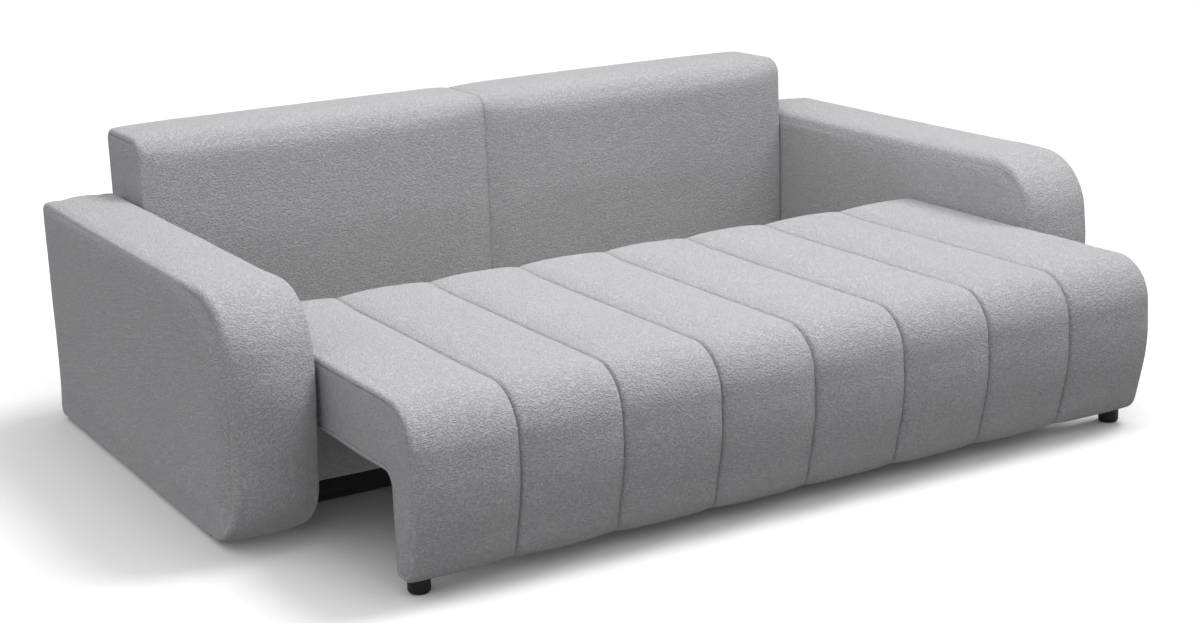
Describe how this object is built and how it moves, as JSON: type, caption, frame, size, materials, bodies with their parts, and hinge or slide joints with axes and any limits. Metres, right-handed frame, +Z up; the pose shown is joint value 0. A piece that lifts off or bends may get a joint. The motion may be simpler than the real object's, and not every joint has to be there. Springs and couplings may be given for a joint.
{
  "type": "pull-out sofa bed",
  "caption": "Sleeper sofa with a channelled seat that pulls out on runners, an upright lift-off back block and rounded box armrests.",
  "frame": {"origin": "on the floor, at the centre of the footprint with the seat pulled out", "axes": "+X along the sofa, to the right for someone standing in front of it; -Y to the front, where the seat is pulled out; +Z up"},
  "size_m": [2.44, 1.8335, 0.75],
  "materials": {
    "upholstery": "grey looped boucle cloth over foam",
    "lining": "black non-woven cloth",
    "plinth_black": "black painted board",
    "rubber": "matte black",
    "roller_plastic": "satin nylon",
    "black_plastic": "matte black",
    "steel_sheet": "black powder coat",
    "zinc_fasteners": "zinc plated",
    "plywood": "raw birch plywood",
    "timber": "raw pine"
  },
  "bodies": {
    "base": {"armrest_band_left": "upholstery", "armrest_band_right": "upholstery", "armrest_outer_pad_left": "upholstery", "armrest_outer_pad_right": "upholstery", "armrest_inner_pad_left": "upholstery", "armrest_inner_pad_right": "upholstery", "armrest_frame_left": "plywood", "armrest_frame_right": "plywood", "armrest_linings": "lining", "armrest_bolts": "zinc_fasteners", "armrest_tee_nuts": "zinc_fasteners", "armrest_glides": "black_plastic", "base_side_board_left": "timber", "base_side_board_right": "timber", "base_front_board": "timber", "base_front_upholstery": "upholstery", "base_rear_board": "timber", "base_inner_board": "timber", "base_floor_panel": "plywood", "base_centre_board": "timber", "plinth_front": "plinth_black", "plinth_rear": "plinth_black", "plinth_runners": "plinth_black", "backrest_sill": "timber", "backrest_post_left": "steel_sheet", "backrest_post_right": "steel_sheet", "backrest_post_screws": "zinc_fasteners", "slide_rail_left": "steel_sheet", "slide_rail_right": "steel_sheet", "rail_stops": "rubber", "rail_screws": "zinc_fasteners"},
    "backrest": {"backrest_cushion": "upholstery", "backrest_bottom_rail": "timber", "backrest_top_rail": "timber", "backrest_studs": "timber", "backrest_rear_panel": "plywood", "backrest_bottom_lining": "lining", "backrest_sleeves": "steel_sheet"},
    "seat_carriage": {"seat_cushion": "upholstery", "seat_dust_cover": "lining", "seat_deck": "plywood", "seat_side_rail_left": "timber", "seat_side_rail_right": "timber", "seat_header": "timber", "seat_rear_rail": "timber", "seat_cross_rails": "timber", "apron_board": "plywood", "apron_batten": "timber", "seat_foot_left": "black_plastic", "seat_foot_right": "black_plastic", "roller_bracket_left": "steel_sheet", "roller_bracket_right": "steel_sheet", "roller_axle_left": "zinc_fasteners", "roller_axle_right": "zinc_fasteners", "bracket_bolts": "zinc_fasteners"},
    "roller_left": {"seat_roller_left": "roller_plastic"},
    "roller_right": {"seat_roller_right": "roller_plastic"}
  },
  "joints": [
    {"name": "seat_slide", "type": "slide", "parent": "base", "child": "seat_carriage", "axis": [0, 1, 0], "range_m": [0, 0.58]},
    {"name": "backrest_lift", "type": "slide", "parent": "base", "child": "backrest", "axis": [0, 0, 1], "range_m": [0, 0.1]},
    {"name": "roller_left_spin", "type": "hinge", "parent": "seat_carriage", "child": "roller_left", "pos_m": [-0.973, -0.0615, 0.1253], "axis": [1, 0, 0], "continuous": true},
    {"name": "roller_right_spin", "type": "hinge", "parent": "seat_carriage", "child": "roller_right", "pos_m": [0.973, -0.0615, 0.1253], "axis": [1, 0, 0], "continuous": true}
  ],
  "couplings": [
    {"joint": "roller_left_spin", "follows": "seat_slide", "rad_per_m": -55.556},
    {"joint": "roller_right_spin", "follows": "seat_slide", "rad_per_m": -55.556}
  ]
}
